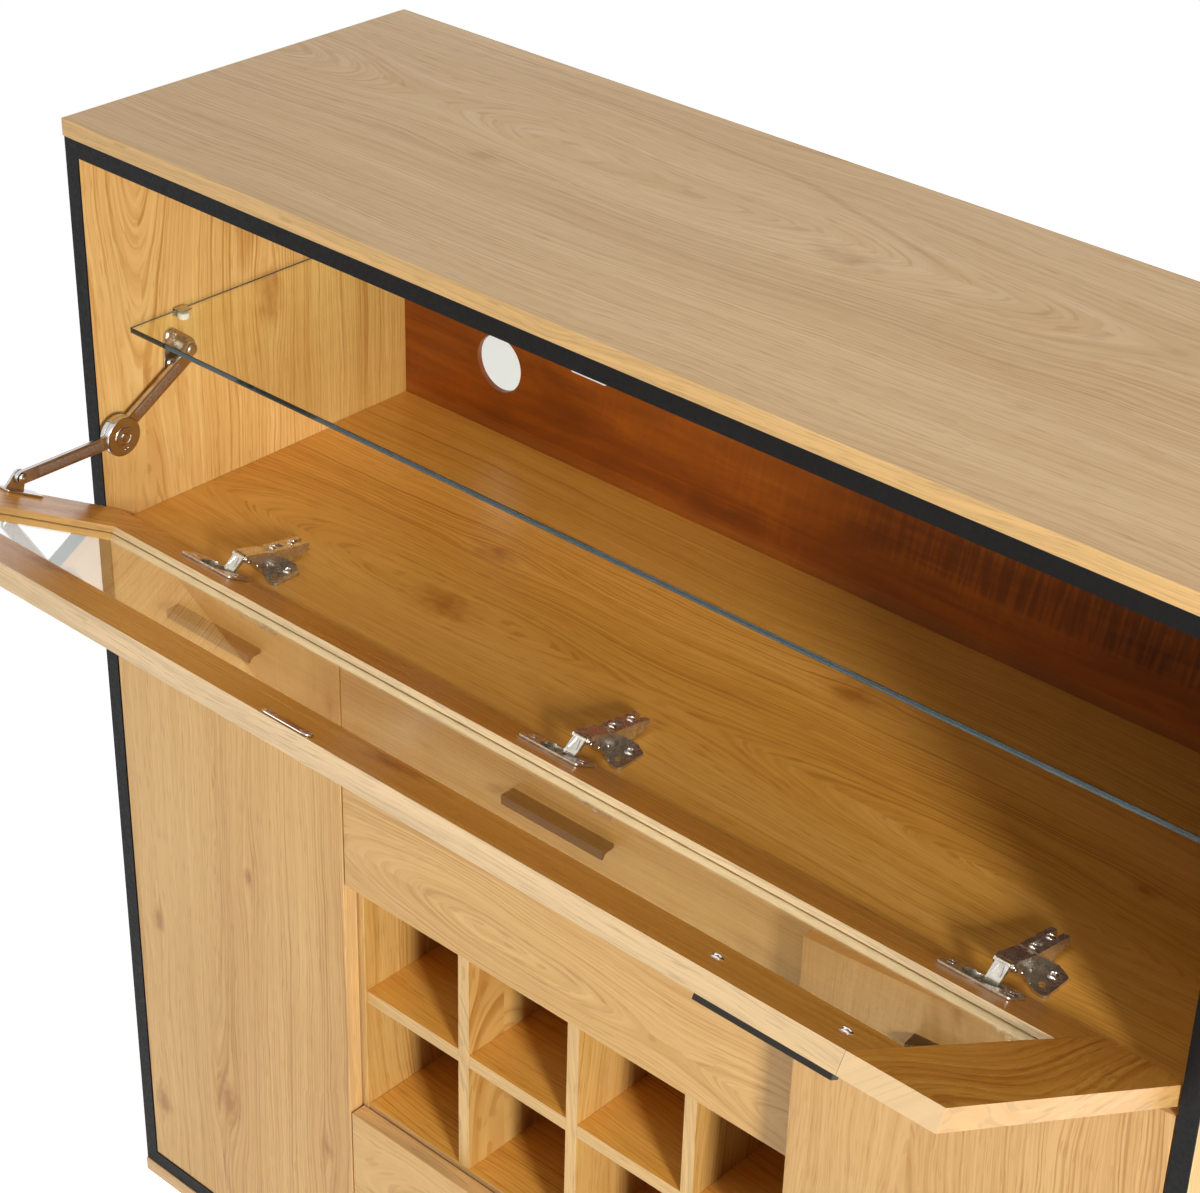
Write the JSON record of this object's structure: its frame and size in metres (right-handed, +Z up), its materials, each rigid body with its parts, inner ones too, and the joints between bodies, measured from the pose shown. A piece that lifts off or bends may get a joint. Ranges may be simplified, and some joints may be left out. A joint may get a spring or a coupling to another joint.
{
  "type": "sideboard with wine rack",
  "caption": "Oak-look bar sideboard with a drop-down glazed flap, a glass shelf, an open bottle rack, side cupboards and drawers between them.",
  "frame": {"origin": "on the floor under the middle of the cabinet, halfway between the front and rear edges of the top board", "axes": "+X to the right seen from the front, +Y to the back, +Z up"},
  "size_m": [1.1, 0.6564, 1.1085],
  "materials": {
    "oak": "satin",
    "oak_back": "satin",
    "black_edge": "matte",
    "dark_bronze": "satin",
    "nickel": "polished",
    "clear_glass": "polished",
    "white_plastic": "satin"
  },
  "bodies": {
    "cabinet": {"top_board": "oak", "sub_top_panel": "oak", "left_side_panel": "oak", "right_side_panel": "oak", "bar_floor": "oak", "left_divider": "oak", "right_divider": "oak", "bottom_panel": "oak", "bottom_board": "oak", "back_panel": "oak_back", "front_trim": "black_edge", "rack_top": "oak", "rack_base": "oak", "rack_divider_left": "oak", "rack_divider_centre": "oak", "rack_divider_right": "oak", "rack_shelf": "oak", "glass_shelf": "clear_glass", "shelf_clip_left_front": "white_plastic", "shelf_clip_left_rear": "white_plastic", "shelf_clip_right_front": "white_plastic", "shelf_clip_right_rear": "white_plastic", "magnetic_catch": "white_plastic", "flap_hinge_arm_left": "nickel", "flap_hinge_arm_centre": "nickel", "flap_hinge_arm_right": "nickel", "stay_bracket": "nickel", "left_door_arm_upper": "nickel", "left_door_arm_lower": "nickel", "right_door_arm_upper": "nickel", "right_door_arm_lower": "nickel"},
    "flap": {"flap_hinge_rail": "oak", "flap_outer_rail": "oak", "flap_left_stile": "oak", "flap_right_stile": "oak", "flap_glass": "clear_glass", "flap_handle_left": "dark_bronze", "flap_handle_right": "dark_bronze", "flap_catch_plate": "nickel", "flap_hinge_cup_left": "nickel", "flap_hinge_cup_centre": "nickel", "flap_hinge_cup_right": "nickel", "stay_flap_bracket": "nickel"},
    "stay_upper": {"stay_upper_arm": "nickel"},
    "stay_lower": {"stay_lower_arm": "nickel"},
    "left_door": {"left_door": "oak", "left_door_handle": "dark_bronze", "left_door_cup_upper": "nickel", "left_door_cup_lower": "nickel"},
    "right_door": {"right_door": "oak", "right_door_handle": "dark_bronze", "right_door_cup_upper": "nickel", "right_door_cup_lower": "nickel"},
    "upper_drawer": {"upper_drawer_front": "oak", "upper_drawer_box": "oak", "upper_drawer_handle": "dark_bronze"},
    "lower_drawer": {"lower_drawer_front": "oak", "lower_drawer_box": "oak", "lower_drawer_handle": "dark_bronze"}
  },
  "joints": [
    {"name": "flap_hinge", "type": "hinge", "parent": "cabinet", "child": "flap", "pos_m": [0, -0.18075, 0.7496], "axis": [-1, 0, 0], "range_deg": [0, 60.3]},
    {"name": "stay_upper_pivot", "type": "hinge", "parent": "cabinet", "child": "stay_upper", "pos_m": [-0.524, -0.0934, 0.8794], "axis": [-1, 0, 0], "range_deg": [-51.5, 0.3]},
    {"name": "stay_lower_pivot", "type": "hinge", "parent": "flap", "child": "stay_lower", "pos_m": [-0.519, -0.2799, 0.8319], "axis": [-1, 0, 0], "range_deg": [-0.3, 0.6]},
    {"name": "left_door_hinge", "type": "hinge", "parent": "cabinet", "child": "left_door", "pos_m": [-0.5262, -0.1855, 0.3855], "axis": [0, 0, -1], "range_deg": [0, 95]},
    {"name": "right_door_hinge", "type": "hinge", "parent": "cabinet", "child": "right_door", "pos_m": [0.5262, -0.1855, 0.3855], "axis": [0, 0, 1], "range_deg": [-5, 90]},
    {"name": "upper_drawer_slide", "type": "slide", "parent": "cabinet", "child": "upper_drawer", "axis": [0, -1, 0], "range_m": [0, 0.25]},
    {"name": "lower_drawer_slide", "type": "slide", "parent": "cabinet", "child": "lower_drawer", "axis": [0, -1, 0], "range_m": [0, 0.25]}
  ],
  "couplings": [
    {"joint": "stay_upper_pivot", "follows": "flap_hinge", "ratio": -0.8486},
    {"joint": "stay_lower_pivot", "follows": "flap_hinge", "ratio": 0.0041}
  ]
}
